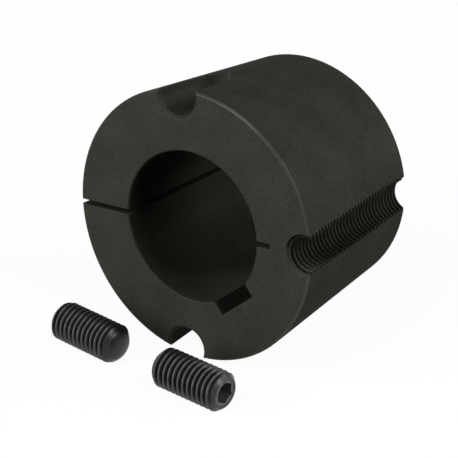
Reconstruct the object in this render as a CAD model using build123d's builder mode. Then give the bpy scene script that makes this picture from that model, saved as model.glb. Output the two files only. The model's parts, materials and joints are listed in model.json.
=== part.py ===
from build123d import *
from math import asin, cos, degrees, radians, sin, tan
import os

# A long taper bush of the standard size 3030 with its two set screws, in millimetres and degrees.
# It lies on its side, along the lowest line of its cone, with the large face towards -Y and one
# smooth half-hole straight down. Both screws lie on the same floor, z = 0, in front of that face.
# Angles around the bush are seen from the large face, anticlockwise.

# The cone
large_diameter = 108.0
bush_length = 76.2
taper = 4.0  # each side, so 8 degrees over the diameter
large_end_chamfer = 0.8
small_end_chamfer = 0.6

# The bore and its keyway
shaft_diameter = 60.0
bore_chamfer = 0.5
key_width = 18.0
hub_key_depth = 4.4  # from the bore's crown to the keyway's floor
keyway_corner_radius = 0.5
tapped_hole_to_keyway = -52.8

# The split goes through the wall. The relief slit lets the wall bend on the other side.
split_width = 2.2
relief_slit_width = 2.2
relief_slit_depth = 6.3

# Three half-holes lie open to the cone, and the hub holds the other half of each. Two are smooth
# and blind, for the screws that draw the bush in. One is tapped right through, to push it out.
half_hole_inset = 2.7  # of each hole's centre from the large end's rim
smooth_hole_clearance = 0.125  # over the screw's diameter
smooth_hole_depth = 29.0
smooth_hole_chamfer = 1.2
split_to_smooth_hole = 85.0
drill_point_angle = 118.0
tapped_hole_chamfer = 0.15
chamfer_angle = 90.0  # of both countersinks

# The screws: 5/8 inch Whitworth with a hexagon socket. Their thread is left off, so they have
# its outer diameter, and so has the tapped half-hole.
thread_diameter = 15.875
screw_length = 31.75
screw_socket_chamfer = 1.9
screw_point_chamfer = 2.2
screw_point_crown = 0.9  # height of the rounded point beyond its chamfer
socket_width = 7.9375  # across the flats
socket_depth = 9.0
socket_pilot_margin = 0.3  # by which the drilled hole is smaller than the hexagon's width
socket_mouth_margin = 0.25  # by which the countersink is larger than the hexagon's corners
socket_mouth_angle = 120.0

# Each screw's middle, from the floor point under the large face's centre, and the heading of its
# point, from +X towards +Y
left_screw_x = -30.9
left_screw_y = -23.5
left_screw_heading = -4.5
right_screw_x = 20.5
right_screw_y = -26.5
right_screw_heading = 177.4
screw_places = {
    "set_screw_left": (left_screw_x, left_screw_y, left_screw_heading),
    "set_screw_right": (right_screw_x, right_screw_y, right_screw_heading),
}

# Radii and angles that follow
large_radius = large_diameter / 2
small_radius = large_radius - bush_length * tan(radians(taper))
bore_radius = shaft_diameter / 2
half_hole_circle_radius = large_radius - half_hole_inset
thread_radius = thread_diameter / 2
smooth_hole_radius = thread_radius + smooth_hole_clearance / 2
smooth_hole_mouth_radius = smooth_hole_radius + smooth_hole_chamfer
drill_point_depth = smooth_hole_radius / tan(radians(drill_point_angle / 2))
tapped_hole_mouth_radius = thread_radius + tapped_hole_chamfer
tapped_hole_mouth_depth = tapped_hole_mouth_radius / tan(radians(chamfer_angle / 2))
socket_mouth_radius = socket_width / 2 / cos(radians(30)) + socket_mouth_margin / 2
socket_mouth_depth = socket_mouth_radius / tan(radians(socket_mouth_angle / 2))
socket_pilot_radius = (socket_width - socket_pilot_margin) / 2
socket_point_depth = socket_pilot_radius / tan(radians(drill_point_angle / 2))
point_rim_radius = thread_radius - screw_point_chamfer
point_crown_radius = (point_rim_radius**2 + screw_point_crown**2) / (2 * screw_point_crown)
point_crown_angle = degrees(asin(point_rim_radius / point_crown_radius))
lower_hole_angle = -90.0
split_angle = lower_hole_angle - split_to_smooth_hole
upper_hole_angle = split_angle - split_to_smooth_hole
tapped_hole_angle = split_angle + 180.0
keyway_angle = tapped_hole_angle + tapped_hole_to_keyway

# The origin lies on the floor under the middle of the whole, so the large face's place on Y
# follows from how far the bush reaches back and the screws reach forward.
lean = radians(taper)
bush_reach = bush_length * cos(lean) + small_radius * sin(lean)
screw_reach = max(
    -y + screw_length / 2 * abs(sin(radians(heading))) + thread_radius
    for _, y, heading in screw_places.values()
)
face_y = (screw_reach - bush_reach) / 2
axis_height = large_radius * cos(lean)

# Where a cutting cone stands against the plane that it is placed on
above = (Align.CENTER, Align.CENTER, Align.MIN)
below = (Align.CENTER, Align.CENTER, Align.MAX)

# The large face, seen from in front: X to the right, Y up the face, Z out of it
large_face = Plane(
    origin=(0, face_y, axis_height), x_dir=(1, 0, 0), z_dir=(0, -cos(lean), sin(lean))
)
bush_axis = Axis(large_face.origin, large_face.z_dir)
# A plane through the axis, for the turned section: X outwards, Y out of the large face
section = Plane(large_face.origin, x_dir=large_face.x_dir, z_dir=-large_face.y_dir)

with BuildPart() as bush_body:
    # Turned section: cone outside, bore inside
    with BuildSketch(section):
        with BuildLine():
            Polyline(
                (bore_radius, 0),
                (large_radius, 0),
                (small_radius, -bush_length),
                (bore_radius, -bush_length),
                close=True,
            )
        make_face()
    revolve(axis=bush_axis)
    large_edges = bush_body.faces().filter_by(large_face).sort_by(bush_axis)[-1].edges()
    small_edges = bush_body.faces().filter_by(large_face).sort_by(bush_axis)[0].edges()
    chamfer(large_edges.sort_by(SortBy.RADIUS)[-1], large_end_chamfer)
    chamfer(small_edges.sort_by(SortBy.RADIUS)[-1], small_end_chamfer)
    bore_edges = [large_edges.sort_by(SortBy.RADIUS)[0], small_edges.sort_by(SortBy.RADIUS)[0]]
    chamfer(bore_edges, bore_chamfer)

    # Split, relief slit and keyway, along the whole bush
    with BuildSketch(large_face):
        with PolarLocations(0, 1, split_angle):
            Rectangle(large_diameter, split_width, align=(Align.MIN, Align.CENTER))
        with PolarLocations(0, 1, tapped_hole_angle):
            slit_reach = bore_radius + relief_slit_depth
            Rectangle(slit_reach, relief_slit_width, align=(Align.MIN, Align.CENTER))
    extrude(amount=-bush_length, mode=Mode.SUBTRACT)
    with BuildSketch(large_face) as keyway:
        with PolarLocations(0, 1, keyway_angle):
            key_reach = bore_radius + hub_key_depth
            Rectangle(key_reach, key_width, align=(Align.MIN, Align.CENTER))
        floor_corners = keyway.vertices().sort_by_distance(large_face.origin)[-2:]
        fillet(floor_corners, keyway_corner_radius)
    extrude(amount=-bush_length, mode=Mode.SUBTRACT)

    # Smooth half-holes: drilled blind and countersunk at the mouth
    hole_spread = upper_hole_angle - lower_hole_angle
    with Locations(large_face):
        with PolarLocations(half_hole_circle_radius, 2, lower_hole_angle, hole_spread, endpoint=True):
            CounterSinkHole(
                smooth_hole_radius, smooth_hole_mouth_radius, smooth_hole_depth, chamfer_angle
            )
            with Locations((0, 0, -smooth_hole_depth)):
                Cone(0, smooth_hole_radius, drill_point_depth, align=below, mode=Mode.SUBTRACT)

    # Tapped half-hole: right through and countersunk at both ends
    with Locations(large_face):
        with PolarLocations(half_hole_circle_radius, 1, tapped_hole_angle):
            CounterSinkHole(
                thread_radius, tapped_hole_mouth_radius, counter_sink_angle=chamfer_angle
            )
            with Locations((0, 0, -bush_length)):
                Cone(
                    tapped_hole_mouth_radius,
                    0,
                    tapped_hole_mouth_depth,
                    align=above,
                    mode=Mode.SUBTRACT,
                )

set_screws = {}
for name, (x, y, heading) in screw_places.items():
    point_way = Vector(cos(radians(heading)), sin(radians(heading)), 0)
    middle = Vector(x, face_y + y, thread_radius)
    # The socket end, seen from in front. Its X points up, so the hexagon has a corner on top.
    socket_end = Plane(
        middle - point_way * (screw_length / 2), x_dir=(0, 0, 1), z_dir=-point_way
    )
    # A plane through the screw's axis, for its turned section: X upwards, Y out of the socket
    screw_section = Plane(
        socket_end.origin, x_dir=socket_end.x_dir, z_dir=-socket_end.y_dir
    )
    with BuildPart() as set_screw:
        # Turned section: chamfered socket end, and a chamfered point with a rounded crown
        with BuildSketch(screw_section):
            with BuildLine():
                crown = JernArc(
                    (0, -screw_length), (1, 0), point_crown_radius, point_crown_angle
                )
                Polyline(
                    crown @ 1,
                    (thread_radius, screw_point_crown + screw_point_chamfer - screw_length),
                    (thread_radius, -screw_socket_chamfer),
                    (thread_radius - screw_socket_chamfer, 0),
                    (0, 0),
                    crown @ 0,
                )
            make_face()
        revolve(axis=Axis(socket_end.origin, socket_end.z_dir))
        # Socket: broached hexagon, countersunk mouth, and the drill point below the hexagon
        with BuildSketch(socket_end):
            RegularPolygon(socket_width / 2, 6, major_radius=False)
        extrude(amount=-socket_depth, mode=Mode.SUBTRACT)
        with Locations(socket_end):
            Cone(0, socket_mouth_radius, socket_mouth_depth, align=below, mode=Mode.SUBTRACT)
            with Locations((0, 0, -socket_depth)):
                Cone(0, socket_pilot_radius, socket_point_depth, align=below, mode=Mode.SUBTRACT)
    set_screws[name] = set_screw

os.makedirs("parts", exist_ok=True)
bush_body.part.label = "bush_body"
export_step(bush_body.part, "parts/bush_body.step")
for name, set_screw in set_screws.items():
    set_screw.part.label = name
    export_step(set_screw.part, f"parts/{name}.step")
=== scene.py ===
"""Dresses a split taper bush and its two socket set screws for a studio view.

The bush keeps its CAD body, finished as phosphated cast iron, and gets the
thread of its tapped half-hole as a separate lining. Both set screws are
rebuilt with their real Whitworth thread, end chamfers and hexagon socket.
Sizes are in millimetres in the classes of the object, and in metres in
Blender and in the studio.
"""

import json
import logging
import math
from dataclasses import dataclass
from enum import Enum

import bpy
import numpy as np
from mathutils import Matrix, Quaternion, Vector


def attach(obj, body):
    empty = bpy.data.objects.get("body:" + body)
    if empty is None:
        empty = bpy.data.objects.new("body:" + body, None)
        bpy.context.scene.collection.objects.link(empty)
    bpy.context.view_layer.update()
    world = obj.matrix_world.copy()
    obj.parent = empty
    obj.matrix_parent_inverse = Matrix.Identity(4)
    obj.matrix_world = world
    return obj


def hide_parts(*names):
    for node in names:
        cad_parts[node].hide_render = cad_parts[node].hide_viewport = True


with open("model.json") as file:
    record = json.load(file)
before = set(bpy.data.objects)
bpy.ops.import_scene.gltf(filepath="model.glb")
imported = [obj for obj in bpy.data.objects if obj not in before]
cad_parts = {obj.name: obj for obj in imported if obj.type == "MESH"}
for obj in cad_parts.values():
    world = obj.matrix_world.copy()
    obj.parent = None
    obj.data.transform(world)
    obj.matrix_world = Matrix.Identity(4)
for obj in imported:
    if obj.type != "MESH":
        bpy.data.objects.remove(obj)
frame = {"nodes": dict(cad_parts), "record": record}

MM = 0.001
INCH_MM = 25.4
# A wave texture at a scale of 1 repeats every 0.314 m.
WAVE_REPEAT = 0.314
# The part of a noise texture's 0 to 1 that nearly all of its values lie in.
NOISE_SPAN = (0.3, 0.7)
log = logging.getLogger("taper_bush")


def linear(hex_colour: str) -> tuple[float, float, float, float]:
    """Turns an sRGB hex colour into linear light.

    Args:
        hex_colour: Six hex digits, such as "3a3b35".

    Returns:
        Linear red, green and blue, and an alpha of 1.
    """
    srgb = np.array([int(hex_colour[k : k + 2], 16) for k in (0, 2, 4)]) / 255
    light = np.where(srgb <= 0.04045, srgb / 12.92, ((srgb + 0.055) / 1.055) ** 2.4)
    return (*light.tolist(), 1.0)


def add_node(
    tree: bpy.types.NodeTree, kind: str, inputs: dict | None = None, **settings: object
) -> bpy.types.Node:
    """Adds a shader node with its settings, values and links.

    Args:
        tree: The node tree that takes the node.
        kind: The node's Blender type name.
        inputs: Input name or number to a value, or to an output socket to link.
        **settings: Properties of the node itself.

    Returns:
        The new node.
    """
    node = tree.nodes.new(kind)
    for name, value in settings.items():
        setattr(node, name, value)
    for key, value in (inputs or {}).items():
        if isinstance(value, bpy.types.NodeSocket):
            tree.links.new(value, node.inputs[key])
        else:
            node.inputs[key].default_value = value
    return node


def new_material(name: str) -> tuple[bpy.types.Material, bpy.types.NodeTree]:
    """Makes an empty node material.

    Args:
        name: The material's name.

    Returns:
        The material and its cleared node tree.
    """
    material = bpy.data.materials.new(name)
    material.use_nodes = True
    material.node_tree.nodes.clear()
    return material, material.node_tree


def seen_share(tree: bpy.types.NodeTree) -> bpy.types.NodeSocket:
    """One where a surface is looked at, straight or in a reflection, and none where it lights.

    Args:
        tree: The node tree that takes the nodes.

    Returns:
        The socket that gives the share.
    """
    rays = add_node(tree, "ShaderNodeLightPath").outputs
    seen = rays["Is Camera Ray"]
    for kind in ("Is Glossy Ray", "Is Transmission Ray"):
        both = {0: seen, 1: rays[kind]}
        seen = add_node(tree, "ShaderNodeMath", both, operation="MAXIMUM").outputs[0]
    return seen


def mesh_piece(
    name: str,
    points: np.ndarray,
    triangles: np.ndarray,
    material: bpy.types.Material,
    sharp_deg: float = 30.0,
    crest: np.ndarray | None = None,
) -> bpy.types.Object:
    """Puts a triangle surface into a mesh object at the origin.

    Triangles that a clamped grid has pinched to a line or point are dropped.

    Args:
        name: The piece's name.
        points: Corner positions in millimetres, one row each.
        triangles: Corner numbers, three to a row, anticlockwise from outside.
        material: The finish of the whole piece.
        sharp_deg: Edges that turn by more than this stay crisp.
        crest: Each point's tone, by which the materials paint shade and light: 0
        at a thread's root, 1 at its crest, and 2 inside a socket.

    Returns:
        The finished object.
    """
    a, b, c = triangles.T
    kept = triangles[(a != b) & (b != c) & (c != a)]
    used, kept = np.unique(kept, return_inverse=True)
    kept = kept.reshape(-1, 3)
    mesh = bpy.data.meshes.new(name)
    mesh.vertices.add(len(used))
    mesh.vertices.foreach_set("co", (points[used] * MM).ravel())
    mesh.loops.add(kept.size)
    mesh.loops.foreach_set("vertex_index", kept.ravel())
    mesh.polygons.add(len(kept))
    mesh.polygons.foreach_set("loop_start", np.arange(0, kept.size, 3))
    mesh.update(calc_edges=True)
    mesh.validate()
    mesh.shade_smooth()
    mesh.set_sharp_from_angle(angle=math.radians(sharp_deg))
    mesh.materials.append(material)
    if crest is not None:
        tones = mesh.attributes.new("crest", "FLOAT", "POINT")
        tones.data.foreach_set("value", crest[used].astype(np.float32))
    piece = bpy.data.objects.new(name, mesh)
    bpy.context.collection.objects.link(piece)
    return piece


def grid_triangles(numbers: np.ndarray) -> np.ndarray:
    """Splits a grid of corner numbers into triangles.

    Each cell between rows j, j+1 and columns i, i+1 gives two triangles that
    are anticlockwise where columns run anticlockwise and rows run away.

    Args:
        numbers: Corner numbers by row and column.

    Returns:
        Corner numbers, three to a row.
    """
    a, b = numbers[:-1, :-1].ravel(), numbers[:-1, 1:].ravel()
    c, d = numbers[1:, 1:].ravel(), numbers[1:, :-1].ravel()
    return np.concatenate([np.stack([a, b, c], 1), np.stack([a, c, d], 1)])


def mount(name: str) -> dict:
    """The record's mount of that name: a place in metres and an axis."""
    return next(m for m in frame["record"]["mounts"] if m["name"] == name)


class ScrewEnd(Enum):
    """Which end of a set screw a surface closes."""

    POINT = "point"
    SOCKET = "socket"


@dataclass(frozen=True)
class WhitworthThread:
    """The rounded 55 degree thread that the screws and the tapped half-hole share."""

    major_radius: float = 7.9375
    per_inch: int = 11
    flank_deg: float = 27.5
    depth_in_pitches: float = 0.6403
    arc_in_pitches: float = 0.1373
    tangent_in_pitches: float = 0.1218

    @property
    def pitch(self) -> float:
        """Distance between crests in millimetres."""
        return INCH_MM / self.per_inch

    @property
    def depth(self) -> float:
        """Height from root to crest in millimetres."""
        return self.depth_in_pitches * self.pitch

    def phases(self) -> np.ndarray:
        """Places within one pitch that draw the rounded crest, flanks and root.

        Returns:
            Rising fractions of a pitch from 0, the crest's middle, to under 1.
        """
        half = np.array([0, 0.045, 0.085, 0.1218, 0.207, 0.293, 0.3782, 0.415, 0.455, 0.5])
        return np.concatenate([half, 1 - half[-2:0:-1]])

    def drop(self, phase: np.ndarray) -> np.ndarray:
        """How far the profile lies below its crest.

        With u the distance from the nearest crest's middle, the crest is an
        arc of radius R, so the drop is R minus the square root of R squared
        minus u squared. Past the tangent point the flank falls by u over the
        tangent of the flank's angle. The root is the crest turned over, with
        v the distance from its middle.

        Args:
            phase: Place along the thread in pitches, a whole number at a crest.

        Returns:
            The drop in millimetres.
        """
        p = self.pitch
        u = np.abs(phase - np.round(phase)) * p
        arc, tangent = self.arc_in_pitches * p, self.tangent_in_pitches * p
        crest = arc - np.sqrt(np.maximum(arc**2 - np.minimum(u, tangent) ** 2, 0))
        v = 0.5 * p - u
        rise = arc - np.sqrt(np.maximum(arc**2 - np.minimum(v, tangent) ** 2, 0))
        root = self.depth - rise
        edge = arc - math.sqrt(arc**2 - tangent**2)
        flank = edge + (u - tangent) / math.tan(math.radians(self.flank_deg))
        return np.where(u <= tangent, crest, np.where(v <= tangent, root, flank))


@dataclass(frozen=True)
class PhosphatedIron:
    """Grey cast iron, turned, bored, drilled and tapped, then dipped in hot phosphate.

    The dip grows a dark olive-grey crust of fine crystals over the metal. To
    the eye it is nearly matt and finely mottled, with a weak wide gleam of
    the iron under it, weaker still at a glancing angle, where the crystals
    shade each other. Edges and the large end's chamfer are rubbed to a gleam;
    the bore, where nothing rubs, gleams less. Painted shade darkens and tints
    the bore's colour a little, and darkens a thread's roots nearly to black.
    """

    name: str = "phosphated_turned_cast_iron"
    dark: str = "373832"
    pale: str = "494a43"
    rubbed: str = "474841"
    # Painted shade: the bore's colour is multiplied by this, a little darker and greener.
    bore_painted_shade: str = "ecf8ee"
    # Painted shade: a thread's roots are multiplied by this, nearly to black.
    root_painted_shade: str = "3c3c3c"
    glancing_tint: str = "aaaaaa"
    # Real crystals are some hundredths of a millimetre across and the tool's
    # feed some tenths; both are drawn as coarse as they need to be to show.
    crystal_mm: float = 1.2
    feed_mm: float = 0.9
    cloud_mm: float = 17.0
    cloud_share: float = 0.9
    mottle_span: tuple[float, float] = (0.55, 1.35)
    crust_mm: float = 0.06
    crust_strength: float = 0.25
    mark_mm: float = 0.012
    mark_strength: float = 0.3
    # An edge is rounded by edge_mm, and is rubbed where that turns the surface
    # so far that the cosine of the turn falls through edge_cosines.
    edge_mm: float = 0.35
    edge_cosines: tuple[float, float] = (0.997, 0.9)
    edge_rub: float = 0.4
    # The bore lies within bore_mm of the axis, and the large end's chamfer is
    # where the radius less the depth is more than chamfer_mm.
    bore_mm: float = 30.7
    chamfer_mm: float = 53.1
    root_span: tuple[float, float] = (0.1, 0.9)
    roughness: tuple[float, float] = (0.38, 0.5)
    rubbed_roughness: float = 0.3
    metallic: float = 0.16
    bore_metallic: float = 0.06
    rubbed_metallic: float = 0.75

    def make(
        self, centre: Vector, tilt_deg: float, threaded: bool = False
    ) -> bpy.types.Material:
        """Builds the material around the bush's own axis.

        Args:
            centre: The middle of the large face, in metres.
            tilt_deg: How far the axis slopes down from level.
            threaded: Whether the piece is a thread, with painted shade in its roots.

        Returns:
            The material.
        """
        material, tree = new_material(self.name + ("_thread" if threaded else ""))
        # The bush's own frame: its z is 0 at the large face and falls with depth.
        turned = add_node(
            tree,
            "ShaderNodeMapping",
            {
                "Vector": add_node(tree, "ShaderNodeTexCoord").outputs["Object"],
                "Location": centre,
                "Rotation": (math.radians(90 - tilt_deg), 0, 0),
            },
            vector_type="TEXTURE",
        ).outputs["Vector"]
        crystals = add_node(
            tree,
            "ShaderNodeTexNoise",
            {
                "Vector": turned,
                "Scale": 1 / (self.crystal_mm * MM),
                "Detail": 2.0,
                "Roughness": 0.5,
            },
        ).outputs["Fac"]
        soft_edge = add_node(
            tree, "ShaderNodeBevel", {"Radius": self.edge_mm * MM}, samples=6
        ).outputs["Normal"]
        # Where shade is painted: a thread's roots, or the bore. The bore also gleams less.
        painted_shade_mask = self._root(tree) if threaded else self._in_bore(tree, turned)
        edge = self._edge(tree, soft_edge)
        rub = edge if threaded else self._or_chamfer(tree, turned, edge)
        # Painted shade: the mottled colour is multiplied by the root's or the bore's shade
        # colour.
        shaded = add_node(
            tree,
            "ShaderNodeMix",
            {
                "Factor": painted_shade_mask,
                6: self._mottle(tree, turned, crystals),
                7: linear(self.root_painted_shade if threaded else self.bore_painted_shade),
            },
            data_type="RGBA",
            blend_type="MULTIPLY",
        ).outputs[2]
        colour = add_node(
            tree,
            "ShaderNodeMix",
            {"Factor": rub, 6: shaded, 7: linear(self.rubbed)},
            data_type="RGBA",
        ).outputs[2]
        gleam = add_node(
            tree,
            "ShaderNodeMapRange",
            {"Value": painted_shade_mask, "To Min": self.metallic, "To Max": self.bore_metallic},
        ).outputs["Result"]
        bare = add_node(
            tree,
            "ShaderNodeMapRange",
            {"Value": rub, "To Min": gleam, "To Max": self.rubbed_metallic},
        ).outputs["Result"]
        crust_rough = add_node(
            tree,
            "ShaderNodeMapRange",
            {
                "Value": crystals,
                "From Min": NOISE_SPAN[0],
                "From Max": NOISE_SPAN[1],
                "To Min": self.roughness[0],
                "To Max": self.roughness[1],
            },
        ).outputs["Result"]
        rough = add_node(
            tree,
            "ShaderNodeMapRange",
            {"Value": rub, "To Min": crust_rough, "To Max": self.rubbed_roughness},
        ).outputs["Result"]
        crust = add_node(
            tree,
            "ShaderNodeBump",
            {
                "Height": crystals,
                "Strength": self.crust_strength,
                "Distance": self.crust_mm * MM,
                "Normal": soft_edge,
            },
        ).outputs["Normal"]
        marks = add_node(
            tree,
            "ShaderNodeBump",
            {
                "Height": self._feed(tree, turned),
                "Strength": self.mark_strength,
                "Distance": self.mark_mm * MM,
                "Normal": crust,
            },
        ).outputs["Normal"]
        shader = add_node(
            tree,
            "ShaderNodeBsdfPrincipled",
            {
                "Base Color": colour,
                "Roughness": rough,
                "Metallic": bare,
                "Specular IOR Level": 0.0,
                "Specular Tint": linear(self.glancing_tint),
                "Normal": marks,
            },
        )
        add_node(tree, "ShaderNodeOutputMaterial", {"Surface": shader.outputs[0]})
        return material

    def _mottle(
        self,
        tree: bpy.types.NodeTree,
        turned: bpy.types.NodeSocket,
        crystals: bpy.types.NodeSocket,
    ) -> bpy.types.NodeSocket:
        """Mixes the crust's colour: fine crystals, with slow clouds where the bath ran off.

        Args:
            tree: The node tree that takes the nodes.
            turned: Place in the bush's own frame.
            crystals: The noise of the crystals, from 0 to 1.

        Returns:
            The socket that gives the colour.
        """
        clouds = add_node(
            tree,
            "ShaderNodeTexNoise",
            {
                "Vector": turned,
                "Scale": 1 / (self.cloud_mm * MM),
                "Detail": 3.0,
                "Roughness": 0.55,
            },
        ).outputs["Fac"]
        mottle = add_node(
            tree,
            "ShaderNodeMath",
            {0: clouds, 1: self.cloud_share, 2: crystals},
            operation="MULTIPLY_ADD",
        ).outputs[0]
        low, high = self.mottle_span
        tone = add_node(
            tree, "ShaderNodeMapRange", {"Value": mottle, "From Min": low, "From Max": high}
        ).outputs["Result"]
        return add_node(
            tree,
            "ShaderNodeMix",
            {"Factor": tone, 6: linear(self.dark), 7: linear(self.pale)},
            data_type="RGBA",
        ).outputs[2]

    def _feed(
        self, tree: bpy.types.NodeTree, turned: bpy.types.NodeSocket
    ) -> bpy.types.NodeSocket:
        """Draws the turning marks: rings on the faces and bands along the cone.

        Args:
            tree: The node tree that takes the nodes.
            turned: Place in the bush's own frame.

        Returns:
            The socket that gives the height of the marks.
        """
        wave = {
            "Vector": turned,
            "Scale": WAVE_REPEAT / (self.feed_mm * MM),
            "Detail": 2.0,
            "Detail Scale": 1.5,
        }
        rings = add_node(
            tree,
            "ShaderNodeTexWave",
            {**wave, "Distortion": 1.6},
            wave_type="RINGS",
            rings_direction="Z",
        ).outputs["Fac"]
        bands = add_node(
            tree,
            "ShaderNodeTexWave",
            {**wave, "Distortion": 1.2},
            wave_type="BANDS",
            bands_direction="Z",
        ).outputs["Fac"]
        return add_node(tree, "ShaderNodeMath", {0: rings, 1: bands}, operation="ADD").outputs[0]

    def _radius(
        self, tree: bpy.types.NodeTree, turned: bpy.types.NodeSocket
    ) -> bpy.types.NodeSocket:
        """Measures the radius around the bush's axis: the length of x and y alone.

        Args:
            tree: The node tree that takes the nodes.
            turned: Place in the bush's own frame.

        Returns:
            The socket that gives the radius in metres.
        """
        across = add_node(
            tree, "ShaderNodeVectorMath", {0: turned, 1: (1.0, 1.0, 0.0)}, operation="MULTIPLY"
        ).outputs[0]
        return add_node(
            tree, "ShaderNodeVectorMath", {0: across}, operation="LENGTH"
        ).outputs["Value"]

    def _in_bore(
        self, tree: bpy.types.NodeTree, turned: bpy.types.NodeSocket
    ) -> bpy.types.NodeSocket:
        """Tells the bore from the rest by its radius.

        Args:
            tree: The node tree that takes the nodes.
            turned: Place in the bush's own frame.

        Returns:
            The socket that gives one in the bore and none elsewhere.
        """
        return add_node(
            tree,
            "ShaderNodeMath",
            {0: self._radius(tree, turned), 1: self.bore_mm * MM},
            operation="LESS_THAN",
        ).outputs[0]

    def _root(self, tree: bpy.types.NodeTree) -> bpy.types.NodeSocket:
        """Finds a thread's root by the piece's own tone, where shade is painted.

        Args:
            tree: The node tree that takes the nodes.

        Returns:
            The socket that gives one at the root, falling to none at the crest.
        """
        low, high = self.root_span
        crest = add_node(tree, "ShaderNodeAttribute", attribute_name="crest").outputs["Fac"]
        return add_node(
            tree,
            "ShaderNodeMapRange",
            {"Value": crest, "From Min": low, "From Max": high, "To Min": 1.0, "To Max": 0.0},
        ).outputs["Result"]

    def _edge(
        self, tree: bpy.types.NodeTree, soft_edge: bpy.types.NodeSocket
    ) -> bpy.types.NodeSocket:
        """Finds the edges, where the rounded normal turns away from the flat one.

        Args:
            tree: The node tree that takes the nodes.
            soft_edge: The normal with rounded edges.

        Returns:
            The socket that gives how far a place is rubbed, from none to edge_rub.
        """
        flat = add_node(tree, "ShaderNodeNewGeometry").outputs["Normal"]
        cosine = add_node(
            tree, "ShaderNodeVectorMath", {0: soft_edge, 1: flat}, operation="DOT_PRODUCT"
        ).outputs["Value"]
        low, high = self.edge_cosines
        return add_node(
            tree,
            "ShaderNodeMapRange",
            {"Value": cosine, "From Min": low, "From Max": high, "To Max": self.edge_rub},
        ).outputs["Result"]

    def _or_chamfer(
        self,
        tree: bpy.types.NodeTree,
        turned: bpy.types.NodeSocket,
        edge: bpy.types.NodeSocket,
    ) -> bpy.types.NodeSocket:
        """Adds the large end's chamfer, where radius less depth is greatest, to the edges.

        Args:
            tree: The node tree that takes the nodes.
            turned: Place in the bush's own frame.
            edge: How far the edges are rubbed.

        Returns:
            The socket that gives one on the chamfer, and the edges' share elsewhere.
        """
        height = add_node(tree, "ShaderNodeSeparateXYZ", {"Vector": turned}).outputs["Z"]
        reach = add_node(
            tree, "ShaderNodeMath", {0: self._radius(tree, turned), 1: height}, operation="ADD"
        ).outputs[0]
        chamfer = add_node(
            tree, "ShaderNodeMath", {0: reach, 1: self.chamfer_mm * MM}, operation="GREATER_THAN"
        ).outputs[0]
        return add_node(
            tree, "ShaderNodeMath", {0: edge, 1: chamfer}, operation="MAXIMUM"
        ).outputs[0]


@dataclass(frozen=True)
class BlackOxideSteel:
    """Rolled and hardened alloy steel, blackened in a hot oxide bath and oiled.

    The black film is thin, so the steel's own gloss comes through it. Its
    colour is painted: near black in the thread's roots as painted shade, a
    bright line along each rolled crest as a painted highlight, and paler
    inside the socket as painted light.
    """

    name: str = "black_oxide_alloy_steel"
    # Painted shade: the colour of the thread's roots.
    root: str = "28272a"
    # Painted highlight: the bright line along the thread's crests.
    crest: str = "504f51"
    # Painted light: the paler colour inside the socket.
    socket_painted_light: str = "7d7c7f"
    # The real grain is some hundredths of a millimetre; it is drawn as coarse
    # as it needs to be to show.
    grain_mm: float = 0.7
    patch_mm: float = 5.0
    mottle_span: tuple[float, float] = (0.7, 1.3)
    unevenness: float = 0.15
    # Sharpens the painted highlight to a thin line on each crest.
    crest_highlight_power: float = 2.2
    skin_mm: float = 0.03
    skin_strength: float = 0.3
    roughness: tuple[float, float] = (0.28, 0.4)
    metallic: float = 0.55

    def make(self) -> bpy.types.Material:
        """Builds the material.

        Returns:
            The material.
        """
        material, tree = new_material(self.name)
        place = add_node(tree, "ShaderNodeTexCoord").outputs["Object"]
        grain = add_node(
            tree,
            "ShaderNodeTexNoise",
            {
                "Vector": place,
                "Scale": 1 / (self.grain_mm * MM),
                "Detail": 3.0,
                "Roughness": 0.6,
            },
        ).outputs["Fac"]
        patches = add_node(
            tree,
            "ShaderNodeTexNoise",
            {"Vector": place, "Scale": 1 / (self.patch_mm * MM), "Detail": 2.0},
        ).outputs["Fac"]
        mottle = add_node(
            tree, "ShaderNodeMath", {0: grain, 1: patches}, operation="ADD"
        ).outputs[0]
        uneven = add_node(
            tree,
            "ShaderNodeMapRange",
            {
                "Value": mottle,
                "From Min": self.mottle_span[0],
                "From Max": self.mottle_span[1],
                "To Min": -self.unevenness,
                "To Max": self.unevenness,
            },
        ).outputs["Result"]
        # Painted shade and highlight: the sharpened crest tone runs the colour from the dark
        # roots to a bright line on the crests.
        crest = add_node(tree, "ShaderNodeAttribute", attribute_name="crest").outputs["Fac"]
        sharp = add_node(
            tree, "ShaderNodeMath", {0: crest, 1: self.crest_highlight_power}, operation="POWER"
        ).outputs[0]
        tone = add_node(
            tree, "ShaderNodeMath", {0: sharp, 1: uneven}, operation="ADD", use_clamp=True
        ).outputs[0]
        rolled = add_node(
            tree,
            "ShaderNodeMix",
            {"Factor": tone, 6: linear(self.root), 7: linear(self.crest)},
            data_type="RGBA",
        ).outputs[2]
        # Painted light: tones above 1 turn the colour to the paler one of the socket.
        inside = add_node(
            tree, "ShaderNodeMath", {0: crest, 1: 1.0}, operation="SUBTRACT", use_clamp=True
        ).outputs[0]
        colour = add_node(
            tree,
            "ShaderNodeMix",
            {"Factor": inside, 6: rolled, 7: linear(self.socket_painted_light)},
            data_type="RGBA",
        ).outputs[2]
        rough = add_node(
            tree,
            "ShaderNodeMapRange",
            {
                "Value": grain,
                "From Min": NOISE_SPAN[0],
                "From Max": NOISE_SPAN[1],
                "To Min": self.roughness[0],
                "To Max": self.roughness[1],
            },
        ).outputs["Result"]
        skin = add_node(
            tree,
            "ShaderNodeBump",
            {"Height": grain, "Strength": self.skin_strength, "Distance": self.skin_mm * MM},
        ).outputs["Normal"]
        shader = add_node(
            tree,
            "ShaderNodeBsdfPrincipled",
            {
                "Base Color": colour,
                "Roughness": rough,
                "Metallic": self.metallic,
                "Normal": skin,
            },
        )
        add_node(tree, "ShaderNodeOutputMaterial", {"Surface": shader.outputs[0]})
        return material


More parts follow.
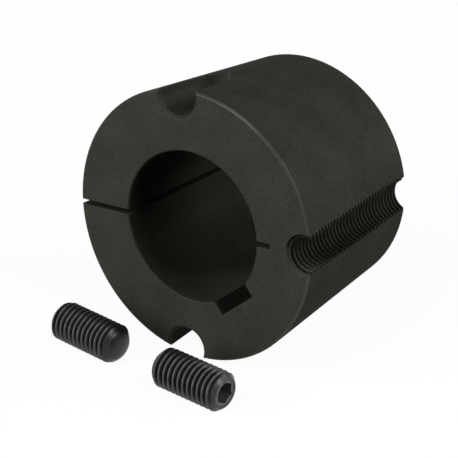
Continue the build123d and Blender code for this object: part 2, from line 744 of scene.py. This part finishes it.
@dataclass(frozen=True)
class StudioPaper:
    """Seamless background paper, rolled and uncoated: matt, and seen as plain white."""

    name: str = "white_background_paper"
    colour: str = "5a5a5a"
    shown: float = 0.94
    # Real fibres are finer; they are drawn as coarse as they need to be to show.
    fibre_mm: float = 10 / 9
    fibre_height_mm: float = 0.1
    fibre_strength: float = 0.05

    def make(self) -> bpy.types.Material:
        """Builds the material: lit paper, with part of its white always there.

        Returns:
            The material.
        """
        material, tree = new_material(self.name)
        place = add_node(tree, "ShaderNodeTexCoord").outputs["Object"]
        fibre = add_node(
            tree, "ShaderNodeTexNoise", {"Vector": place, "Scale": 1 / (self.fibre_mm * MM)}
        ).outputs["Fac"]
        grain = add_node(
            tree,
            "ShaderNodeBump",
            {
                "Height": fibre,
                "Strength": self.fibre_strength,
                "Distance": self.fibre_height_mm * MM,
            },
        ).outputs["Normal"]
        paper = add_node(
            tree, "ShaderNodeBsdfDiffuse", {"Color": linear(self.colour), "Normal": grain}
        ).outputs[0]
        strength = add_node(
            tree, "ShaderNodeMath", {0: seen_share(tree), 1: self.shown}, operation="MULTIPLY"
        ).outputs[0]
        glow = add_node(tree, "ShaderNodeEmission", {"Strength": strength}).outputs[0]
        both = add_node(tree, "ShaderNodeAddShader", {0: paper, 1: glow}).outputs[0]
        add_node(tree, "ShaderNodeOutputMaterial", {"Surface": both})
        return material


@dataclass
class SetScrew:
    """A socket set screw with a crowned point, lying on its side on the floor.

    Its own axis runs from the point, z = 0, to the socket, z = length.
    """

    node: str
    thread: WhitworthThread
    length: float = 31.75
    crest_clearance: float = 0.02
    socket_chamfer: float = 1.9
    point_chamfer: float = 2.2
    point_crown: float = 0.9
    across_flats: float = 7.9375
    socket_depth: float = 9.0
    mouth_radius: float = 4.708
    mouth_deg: float = 120.0
    pilot_radius: float = 3.819
    pilot_deg: float = 118.0
    # Tones run from 0, a thread's root in painted shade, over 1, its crest with a painted
    # highlight, to 2, the socket in painted light.
    point_tone: float = 0.0
    face_tone: float = 0.6
    # The socket's walls take this tone, which paints them light.
    socket_painted_light_tone: float = 2.0
    columns: int = 120
    crown_rings: int = 7
    # Rings of points lie at these shares of the way down the hexagon's wall.
    wall_shares: tuple[float, ...] = (0.0, 0.2, 0.6, 1.0)
    sharp_deg: float = 33.0
    weld_digits: int = 5

    def build(self, material: bpy.types.Material) -> bpy.types.Object:
        """Builds the screw in place of its plain CAD node.

        Args:
            material: The screw's finish.

        Returns:
            The finished piece.
        """
        points, numbers, crest = self._barrel()
        triangles = [self._helix_triangles(numbers)]
        for end in ScrewEnd:
            rings = self._end(end)
            shape = (len(rings), self.columns)
            closing = len(points) + np.arange(len(rings) * self.columns).reshape(shape)
            triangles.append(grid_triangles(np.concatenate([closing, closing[:, :1]], 1)))
            points = np.concatenate([points, *rings])
            if end is ScrewEnd.POINT:
                tone = np.full(shape, self.point_tone)
            else:
                tone = np.full(shape, self.socket_painted_light_tone)
                tone[:2] = self.face_tone  # The end face lies between the first two rings.
            crest = np.append(crest, tone)
        kept, welded = self._weld(points)
        piece = mesh_piece(
            self.node + "_threaded",
            self._placed(points[kept]),
            welded[np.concatenate(triangles)],
            material,
            self.sharp_deg,
            crest[kept],
        )
        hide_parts(self.node)
        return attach(piece, "root")

    def _barrel(self) -> tuple[np.ndarray, np.ndarray, np.ndarray]:
        """The threaded barrel as a grid that follows the helix.

        A row holds one place on the thread's profile, s pitches along, and a
        column one angle t, so z = (s + t / full turn) times the pitch, kept
        between the crown's rim and the socket end. The radius is the least of
        crest radius minus the profile's drop and the two 45 degree chamfers.

        Returns:
            The points in the screw's own millimetres, their numbers by row
            and column, and their tones.
        """
        phases = self.thread.phases()
        turns = math.ceil(self.length / self.thread.pitch)
        s = (np.arange(-1, turns + 1)[:, None] + phases[None, :]).ravel()[:, None]
        t = np.arange(self.columns)[None, :] * 2 * np.pi / self.columns
        helix = (s + t / (2 * np.pi)) * self.thread.pitch
        z = np.clip(helix, self.point_crown, self.length)
        drop = self.thread.drop(s + 0 * t)
        profile = self.thread.major_radius - self.crest_clearance - drop
        point = self.thread.major_radius - self.point_chamfer + z - self.point_crown
        socket = self.thread.major_radius - self.socket_chamfer + self.length - z
        r = np.minimum(profile, np.minimum(point, socket))
        points = np.stack([r * np.cos(t), r * np.sin(t), z], -1).reshape(-1, 3)
        turned = np.where(z < self.length / 2, self.point_tone, self.face_tone)
        crest = np.where(r < profile, turned, 1 - drop / self.thread.depth)
        return points, np.arange(len(points)).reshape(r.shape), crest.ravel()

    def _helix_triangles(self, numbers: np.ndarray) -> np.ndarray:
        """Joins the grid's last column to the first, one pitch further on.

        Args:
            numbers: The barrel's corner numbers by row and column.

        Returns:
            Corner numbers, three to a row.
        """
        step = len(self.thread.phases())
        last = np.stack([numbers[:-step, -1], numbers[step:, 0]], 1)
        return np.concatenate([grid_triangles(numbers), grid_triangles(last)])

    def _end(self, end: ScrewEnd) -> list[np.ndarray]:
        """Rings of points that close one end, from its point to its socket.

        The point is a shallow ball of radius R = (rim squared + crown
        squared) over twice the crown: at share f of its half angle A, radius
        is R sine fA and height R minus R cosine fA. At the socket, the
        hexagon's wall at angle t is the half width over the cosine of the
        angle from the nearest flat's middle; the countersink meets it where
        depth is mouth radius minus wall radius, over the tangent of half the
        countersink's angle.

        Args:
            end: The end to close.

        Returns:
            Rings of points in the screw's own millimetres.
        """
        t = np.arange(self.columns) * 2 * np.pi / self.columns

        def ring(radius: float | np.ndarray, height: float | np.ndarray) -> np.ndarray:
            """One closed ring around the axis."""
            return np.stack([radius * np.cos(t), radius * np.sin(t), height + 0 * t], 1)

        if end is ScrewEnd.POINT:
            rim = self.thread.major_radius - self.point_chamfer
            ball = (rim**2 + self.point_crown**2) / (2 * self.point_crown)
            turns = np.linspace(0, math.asin(rim / ball), self.crown_rings)
            return [ring(ball * math.sin(a), ball * (1 - math.cos(a))) for a in turns]
        flat = np.mod(t - math.pi / 2, math.pi / 3) - math.pi / 6
        wall = self.across_flats / 2 / np.cos(flat)
        mouth = (self.mouth_radius - wall) / math.tan(math.radians(self.mouth_deg / 2))
        tip = self.socket_depth + self.pilot_radius / math.tan(math.radians(self.pilot_deg / 2))
        height = self.socket_depth - mouth
        return [
            ring(self.thread.major_radius - self.socket_chamfer, self.length),
            ring(self.mouth_radius, self.length),
            *(ring(wall, self.length - mouth - f * height) for f in self.wall_shares),
            ring(self.pilot_radius, self.length - self.socket_depth),
            ring(0 * t, self.length - tip),
        ]

    def _weld(self, points: np.ndarray) -> tuple[np.ndarray, np.ndarray]:
        """Gives points that agree to weld_digits of a millimetre the same number.

        Args:
            points: Points in millimetres, one row each.

        Returns:
            The numbers of the distinct points, and each old number's new one.
        """
        places = np.round(points, self.weld_digits)
        _, first, new = np.unique(places, axis=0, return_index=True, return_inverse=True)
        return first, new.ravel()

    def _placed(self, points: np.ndarray) -> np.ndarray:
        """Turns the screw's own points to where the CAD node lies.

        The record gives the middle of the socket end and the axis that comes
        out of it; a hexagon corner looks straight up.

        Args:
            points: Points in the screw's own millimetres.

        Returns:
            Points in the row frame, in millimetres.
        """
        socket = mount(self.node + "_socket")
        axis = np.array(socket["axis"])
        axis /= np.linalg.norm(axis)
        up = np.array([0.0, 0.0, 1.0])
        turn = np.stack([np.cross(up, axis), up, axis])
        return (points - [0, 0, self.length]) @ turn + np.array(socket["pos_m"]) / MM


@dataclass
class Bush:
    """The split taper bush, on its side, with its axis sloping away downwards.

    Its own axis starts at the large face, depth 0, and runs into the bush.
    Angles are anticlockwise from the right, as the large face is seen.
    """

    node: str = "bush_body"
    large_radius: float = 54.0
    length: float = 76.2
    taper_deg: float = 4.0
    large_chamfer: float = 0.8
    small_chamfer: float = 0.6
    hole_ring_radius: float = 51.3
    tapped_deg: float = 5.0
    tapped_chamfer: float = 0.15
    # The lining's thread stands on lining_root. Its back is sunk in the hole's
    # wall, its edges lie a little under the cone, it runs a little way into the
    # countersinks, and it is nowhere thinner than least_wall.
    lining_root: float = 7.90
    lining_back: float = 7.99
    lining_inset: float = 0.045
    lining_overrun: float = 0.02
    least_wall: float = 0.01
    # The tone where a countersink cuts the lining's thread, so that it takes little painted
    # shade.
    turned_tone: float = 0.8
    columns: int = 57
    # The lining's arc starts from this half angle and settles in these rounds.
    first_half_arc_deg: float = 95.0
    settling_rounds: int = 12
    sharp_deg: float = 38.0

    def dress(self, material: bpy.types.Material) -> bpy.types.Object:
        """Gives the CAD body its finish.

        Args:
            material: The bush's finish.

        Returns:
            The CAD node's object.
        """
        body = frame["nodes"][self.node]
        for slot in body.material_slots:
            slot.material = material
        return body

    def axis_frame(self) -> tuple[np.ndarray, np.ndarray]:
        """Where the large face's centre is, and which way the bush looks.

        The record gives a point on the bore's axis and the axis itself, which
        comes out of the large face; the point lies half the length in.

        Returns:
            The face's centre in millimetres, and a matrix whose rows are
            right, up the face, and into the bush.
        """
        bore = mount("shaft_bore")
        inward = -np.array(bore["axis"])
        inward /= np.linalg.norm(inward)
        right = np.array([1.0, 0.0, 0.0])
        centre = np.array(bore["pos_m"]) / MM - inward * self.length / 2
        return centre, np.stack([right, np.cross(right, inward), inward])

    def _cone(self, depth: np.ndarray) -> np.ndarray:
        """Works out the outer radius at a depth, less the lining's inset.

        The radius is the least of the taper, large radius less depth times
        the tangent of its angle, and the two 45 degree end chamfers.

        Args:
            depth: Depth from the large face.

        Returns:
            The radius in millimetres.
        """
        taper = math.tan(math.radians(self.taper_deg))
        large = self.large_radius - self.lining_inset
        small = large - taper * self.length
        front = large - self.large_chamfer + depth
        back = small - self.small_chamfer + self.length - depth
        return np.minimum(large - taper * depth, np.minimum(front, back))

    def _edge_angle(self, radius: np.ndarray, depth: np.ndarray) -> np.ndarray:
        """Angle at which a circle around the hole's centre meets the cone.

        By the cosine rule its cosine is cone radius squared minus ring radius
        squared minus circle radius squared, over twice their product.

        Args:
            radius: Radius around the hole's own centre.
            depth: Depth from the large face.

        Returns:
            The angle in radians, from the direction away from the bush's axis.
        """
        ring = self.hole_ring_radius
        cosine = (self._cone(depth) ** 2 - ring**2 - radius**2) / (2 * ring * radius)
        return np.arccos(np.clip(cosine, -1, 1))

    def thread_lining(
        self, thread: WhitworthThread, material: bpy.types.Material
    ) -> bpy.types.Object:
        """Builds the thread of the tapped half-hole as a closed lining.

        A row holds one place on the thread's profile and a column one share f
        of the hole's arc. The angle t runs from one outer edge of the hole to
        the other, and depth = (row phase - t / full turn) times the pitch,
        kept between the two countersinks. The inner radius is the root radius
        minus the thread's height above the root, widened by the countersinks;
        the outer radius is sunk in the hole's wall. Edges follow the cone.
        Depth, radius and edge angle hang on each other, so they are worked
        out in turn until they settle.

        Args:
            thread: The thread form.
            material: The lining's finish.

        Returns:
            The finished piece.
        """
        start = self.tapped_chamfer - self.lining_overrun
        turns = math.ceil(self.length / thread.pitch)
        s = (np.arange(-1, turns + 2)[:, None] + thread.phases()[None, :]).ravel()[:, None]
        f = np.linspace(0, 1, self.columns)[None, :]
        ridge = self.lining_root - thread.depth + thread.drop(s) + 0 * f
        mouth = thread.major_radius + self.tapped_chamfer

        def sheet(inner: bool) -> tuple[np.ndarray, np.ndarray, np.ndarray]:
            """Settles one side of the lining over the grid.

            Args:
                inner: Whether it is the side with the thread, not the back.

            Returns:
                The angle, the depth and the radius of each point.
            """
            t = np.pi + (2 * f - 1) * math.radians(self.first_half_arc_deg) + 0 * s
            for _ in range(self.settling_rounds):
                helix = (s - t / (2 * np.pi)) * thread.pitch
                depth = np.clip(helix, start, self.length - start)
                r = self.lining_back + 0 * depth
                if inner:
                    sink = mouth - np.minimum(depth, self.length - depth)
                    r = np.minimum(np.maximum(ridge, sink), r - self.least_wall)
                edge = self._edge_angle(r, depth)
                t = edge + f * (2 * np.pi - 2 * edge)
            return t, depth, r

        inner, outer = sheet(inner=True), sheet(inner=False)
        points = np.concatenate([self._hole_points(*inner), self._hole_points(*outer)])
        shape = inner[0].shape
        count = shape[0] * shape[1]
        front = np.arange(count).reshape(shape)
        behind = front + count
        triangles = np.concatenate(
            [
                grid_triangles(front[:, ::-1]),
                grid_triangles(behind),
                grid_triangles(np.stack([front[:, 0], behind[:, 0]], 1)),
                grid_triangles(np.stack([behind[:, -1], front[:, -1]], 1)),
                grid_triangles(np.stack([behind[0], front[0]])[:, ::-1]),
                grid_triangles(np.stack([front[-1], behind[-1]])[:, ::-1]),
            ]
        )
        # Tones for the painted shade in the thread's roots; the lining's back takes none.
        crest = np.where(inner[2] > ridge, self.turned_tone, 1 - thread.drop(s) / thread.depth)
        crest = np.concatenate([crest.ravel(), np.ones(count)])
        piece = mesh_piece(
            "tapped_half_hole_thread",
            self._placed(points),
            triangles,
            material,
            self.sharp_deg,
            crest,
        )
        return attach(piece, "root")

    def _hole_points(
        self, angle: np.ndarray, depth: np.ndarray, radius: np.ndarray
    ) -> np.ndarray:
        """Places points around the tapped hole's centre, in the bush's own millimetres.

        A point is the hole's centre plus the radius times the cosine and the
        sine of the hole's own angle plus the point's.

        Args:
            angle: Angle from the direction away from the bush's axis.
            depth: Depth from the large face.
            radius: Radius around the hole's own centre.

        Returns:
            Right, up and depth of each point, one row each.
        """
        out = math.radians(self.tapped_deg)
        a = self.hole_ring_radius * math.cos(out) + radius * np.cos(out + angle)
        b = self.hole_ring_radius * math.sin(out) + radius * np.sin(out + angle)
        return np.stack([a, b, depth], -1).reshape(-1, 3)

    def _placed(self, points: np.ndarray) -> np.ndarray:
        """Points given as right, up and depth, turned into the row frame."""
        centre, turn = self.axis_frame()
        return points @ turn + centre


@dataclass(frozen=True)
class Softbox:
    """A square soft box; its place and the side of its square are in metres."""

    name: str
    place: tuple[float, float, float]
    watts: float
    size: float = 0.5

    def hang(self, aim: tuple[float, float, float]) -> bpy.types.Object:
        """Hangs the lamp.

        Args:
            aim: The point it faces, in metres.

        Returns:
            The lamp object.
        """
        light = bpy.data.lights.new(self.name, "AREA")
        light.size, light.energy = self.size, self.watts
        lamp = bpy.data.objects.new(self.name, light)
        lamp.location = self.place
        facing = Vector(aim) - Vector(self.place)
        lamp.rotation_euler = facing.to_track_quat("-Z", "Y").to_euler()
        bpy.context.collection.objects.link(lamp)
        return lamp


@dataclass
class Studio:
    """White paper, soft light and the camera, in metres where no name says mm."""

    floor_size: float = 6.0
    camera_mm: tuple[float, float, float] = (347.57, -477.51, 355.08)
    looks_along: tuple[float, float, float] = (-0.51887, 0.71660, -0.46611)
    roll_deg: float = 0.325
    lens_mm: float = 134.96
    sensor_mm: float = 36.0
    clip: tuple[float, float] = (0.01, 50.0)
    room_light: float = 0.04
    room_shown: float = 1.0
    object_middle: tuple[float, float, float] = (0.0, 0.0, 0.05)
    softboxes: tuple[Softbox, ...] = (
        Softbox("front_softbox", (-0.5, -1.2, 0.3), 6.6),
        Softbox("left_softbox", (-0.9, -0.95, 0.7), 4.9),
        Softbox("right_softbox", (1.0, 0.1, 0.85), 5.4),
        Softbox("back_softbox", (0.95, 0.9, 0.45), 4.0),
        Softbox("high_softbox", (-0.1, -0.75, 1.05), 2.6),
    )

    def camera(self) -> bpy.types.Object:
        """Sets up the camera.

        Returns:
            The camera object, which is also made the scene's camera.
        """
        lens = bpy.data.cameras.new("camera")
        lens.lens, lens.sensor_width = self.lens_mm, self.sensor_mm
        lens.clip_start, lens.clip_end = self.clip
        camera = bpy.data.objects.new("camera", lens)
        aim = Vector(self.looks_along).to_track_quat("-Z", "Y")
        turn = aim @ Quaternion((0, 0, 1), math.radians(self.roll_deg))
        place = Matrix.Translation(Vector(self.camera_mm) * MM)
        camera.matrix_world = place @ turn.to_matrix().to_4x4()
        bpy.context.collection.objects.link(camera)
        bpy.context.scene.camera = camera
        return camera

    def floor(self, material: bpy.types.Material) -> bpy.types.Object:
        """Lays the paper.

        Args:
            material: The paper's finish.

        Returns:
            The floor.
        """
        half = self.floor_size / 2 / MM
        points = half * np.array([[-1, -1, 0], [1, -1, 0], [1, 1, 0], [-1, 1, 0]], float)
        paper = mesh_piece("floor", points, np.array([[0, 1, 2], [0, 2, 3]]), material)
        return paper

    def world(self) -> None:
        """Lights the scene evenly: white where it is seen, softer where it lights."""
        world = bpy.data.worlds.new("white_room")
        bpy.context.scene.world = world
        world.use_nodes = True
        tree = world.node_tree
        tree.nodes.clear()
        strength = add_node(
            tree,
            "ShaderNodeMapRange",
            {"Value": seen_share(tree), "To Min": self.room_light, "To Max": self.room_shown},
        ).outputs["Result"]
        glow = add_node(tree, "ShaderNodeBackground", {"Strength": strength}).outputs[0]
        add_node(tree, "ShaderNodeOutputWorld", {"Surface": glow})

    def light(self) -> None:
        """Lights the room, hangs the soft boxes and shows colours as they are."""
        self.world()
        for softbox in self.softboxes:
            softbox.hang(self.object_middle)
        bpy.context.scene.view_settings.view_transform = "Standard"


def main() -> None:
    """Builds the scene piece by piece."""
    logging.basicConfig(level=logging.INFO, format="%(name)s: %(message)s")
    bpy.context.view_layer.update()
    studio = Studio()
    studio.camera()
    thread = WhitworthThread()
    bush = Bush()
    centre, _ = bush.axis_frame()
    finish = PhosphatedIron()
    iron = finish.make(Vector(centre * MM), bush.taper_deg)
    tapped_iron = finish.make(Vector(centre * MM), bush.taper_deg, threaded=True)
    steel = BlackOxideSteel().make()
    body = bush.dress(iron)
    log.info("%s: dressed", body.name)
    lining = bush.thread_lining(thread, tapped_iron)
    log.info("%s: %d faces", lining.name, len(lining.data.polygons))
    for node in ("set_screw_left", "set_screw_right"):
        piece = SetScrew(node, thread).build(steel)
        log.info("%s: %d faces", piece.name, len(piece.data.polygons))
    studio.floor(StudioPaper().make())
    studio.light()
    log.info("sizes written")


if __name__ == "__main__":
    main()
